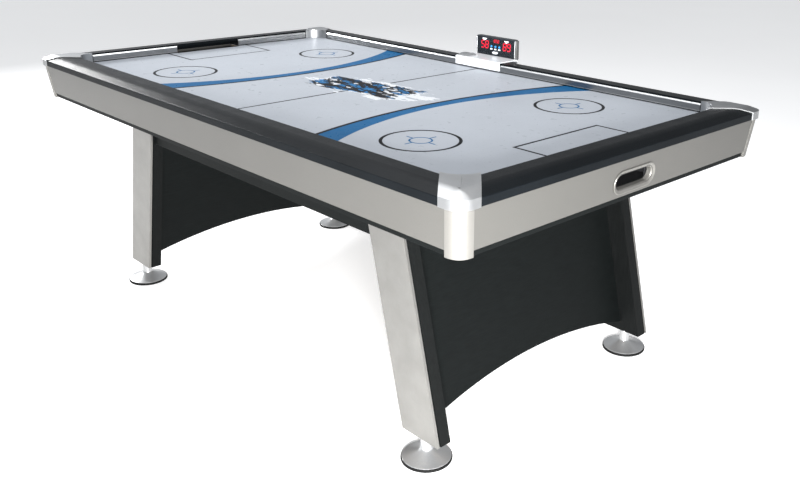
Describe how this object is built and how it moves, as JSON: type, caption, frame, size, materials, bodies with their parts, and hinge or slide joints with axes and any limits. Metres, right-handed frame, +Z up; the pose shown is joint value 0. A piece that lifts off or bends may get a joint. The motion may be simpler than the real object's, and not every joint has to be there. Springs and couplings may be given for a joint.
{
  "type": "air hockey table",
  "caption": "Home air hockey table with splayed legs on levelling feet, sloping rails, end goals with puck returns, an electronic scorer on one rail and a blower under the surface.",
  "frame": {"origin": "on the floor under the middle of the table", "axes": "+X along the table to its right-hand end, +Y across the table to the rail that carries the scorer, +Z up"},
  "size_m": [2.1396, 1.2466, 0.894],
  "materials": {
    "playing_surface": "fibreboard faced with a glossy pale laminate, printed with blue ice graphics",
    "cabinet_board": "plain fibreboard, unseen from above",
    "silver_laminate": "fibreboard wrapped in satin silver-grey foil",
    "black_laminate": "fibreboard wrapped in black foil",
    "rail_wrap": "moulded fibreboard wrapped in glossy dark grey-black foil",
    "bumper_metal": "extruded aluminium with fine ribs along it",
    "cap_plastic": "metallised silver plastic",
    "post_plastic": "satin silver moulding",
    "leg_board": "fibreboard wrapped in dark grey foil",
    "leg_metal": "satin silver sheet",
    "fixing_steel": "zinc plated steel",
    "foot_metal": "polished",
    "foot_rubber": "black, matt",
    "goal_plastic": "black moulding",
    "bezel_plastic": "satin silver moulding",
    "scorer_plastic": "dark slate moulding",
    "saddle_plastic": "satin grey moulding",
    "tinted_window": "tinted panel",
    "circuit_board": "circuit board laminate",
    "display_blocks": "segment displays that glow red",
    "button_plastic": "blue moulding",
    "blower_plastic": "black moulding",
    "motor_case": "painted steel can",
    "switch_plastic": "black moulding",
    "rocker_plastic": "red moulding"
  },
  "bodies": {
    "table": {"playfield_board": "playing_surface", "plenum_floor": "cabinet_board", "plenum_side_boards": "cabinet_board", "plenum_end_boards": "cabinet_board", "plenum_ribs": "cabinet_board", "side_apron_front": "silver_laminate", "side_apron_back": "silver_laminate", "end_apron_left": "silver_laminate", "end_apron_right": "silver_laminate", "base_trims": "black_laminate", "end_panels": "black_laminate", "long_beams": "black_laminate", "side_rail_front": "rail_wrap", "side_rail_back": "rail_wrap", "end_rail_left": "rail_wrap", "end_rail_right": "rail_wrap", "side_bumper_front": "bumper_metal", "side_bumper_back": "bumper_metal", "end_bumpers_left": "bumper_metal", "end_bumpers_right": "bumper_metal", "corner_cap_front_left": "cap_plastic", "corner_cap_front_right": "cap_plastic", "corner_cap_back_right": "cap_plastic", "corner_cap_back_left": "cap_plastic", "corner_posts": "post_plastic", "leg_front_left": "leg_board", "leg_front_right": "leg_board", "leg_back_right": "leg_board", "leg_back_left": "leg_board", "leg_face_plates": "leg_metal", "leg_plates": "fixing_steel", "leg_bolts": "fixing_steel", "scorer_screws": "fixing_steel", "goal_box_left": "goal_plastic", "goal_box_right": "goal_plastic", "goal_sensors": "goal_plastic", "return_bezel_left": "bezel_plastic", "return_bezel_right": "bezel_plastic", "scorer_housing": "scorer_plastic", "scorer_back_cover": "scorer_plastic", "scorer_saddle": "saddle_plastic", "scorer_window": "tinted_window", "scorer_circuit_board": "circuit_board", "scorer_displays": "display_blocks", "blower_housing": "blower_plastic", "blower_motor": "motor_case", "switch_box": "switch_plastic"},
    "foot_front_left": {"foot_front_left": "foot_metal", "foot_ring_front_left": "foot_rubber"},
    "foot_front_right": {"foot_front_right": "foot_metal", "foot_ring_front_right": "foot_rubber"},
    "foot_back_right": {"foot_back_right": "foot_metal", "foot_ring_back_right": "foot_rubber"},
    "foot_back_left": {"foot_back_left": "foot_metal", "foot_ring_back_left": "foot_rubber"},
    "button_left": {"scorer_button_left": "button_plastic"},
    "button_middle": {"scorer_button_middle": "button_plastic"},
    "button_right": {"scorer_button_right": "button_plastic"},
    "impeller": {"blower_impeller": "blower_plastic"},
    "rocker": {"power_rocker": "rocker_plastic"}
  },
  "joints": [
    {"name": "level_front_left", "type": "slide", "parent": "table", "child": "foot_front_left", "axis": [0, 0, -1], "range_m": [-0.003, 0.02]},
    {"name": "level_front_right", "type": "slide", "parent": "table", "child": "foot_front_right", "axis": [0, 0, -1], "range_m": [-0.003, 0.02]},
    {"name": "level_back_right", "type": "slide", "parent": "table", "child": "foot_back_right", "axis": [0, 0, -1], "range_m": [-0.003, 0.02]},
    {"name": "level_back_left", "type": "slide", "parent": "table", "child": "foot_back_left", "axis": [0, 0, -1], "range_m": [-0.003, 0.02]},
    {"name": "press_left", "type": "slide", "parent": "table", "child": "button_left", "axis": [0, 1, 0], "range_m": [0, 0.0015], "stiffness_N_per_m": 400, "springref_m": -0.001},
    {"name": "press_middle", "type": "slide", "parent": "table", "child": "button_middle", "axis": [0, 1, 0], "range_m": [0, 0.0015], "stiffness_N_per_m": 400, "springref_m": -0.001},
    {"name": "press_right", "type": "slide", "parent": "table", "child": "button_right", "axis": [0, 1, 0], "range_m": [0, 0.0015], "stiffness_N_per_m": 400, "springref_m": -0.001},
    {"name": "impeller_spin", "type": "hinge", "parent": "table", "child": "impeller", "pos_m": [0, 0, 0.62], "axis": [0, 0, 1], "continuous": true},
    {"name": "rocker_tilt", "type": "hinge", "parent": "table", "child": "rocker", "pos_m": [0.281, 0.47, 0.6528], "axis": [0, 1, 0], "range_deg": [-20, 0]}
  ]
}
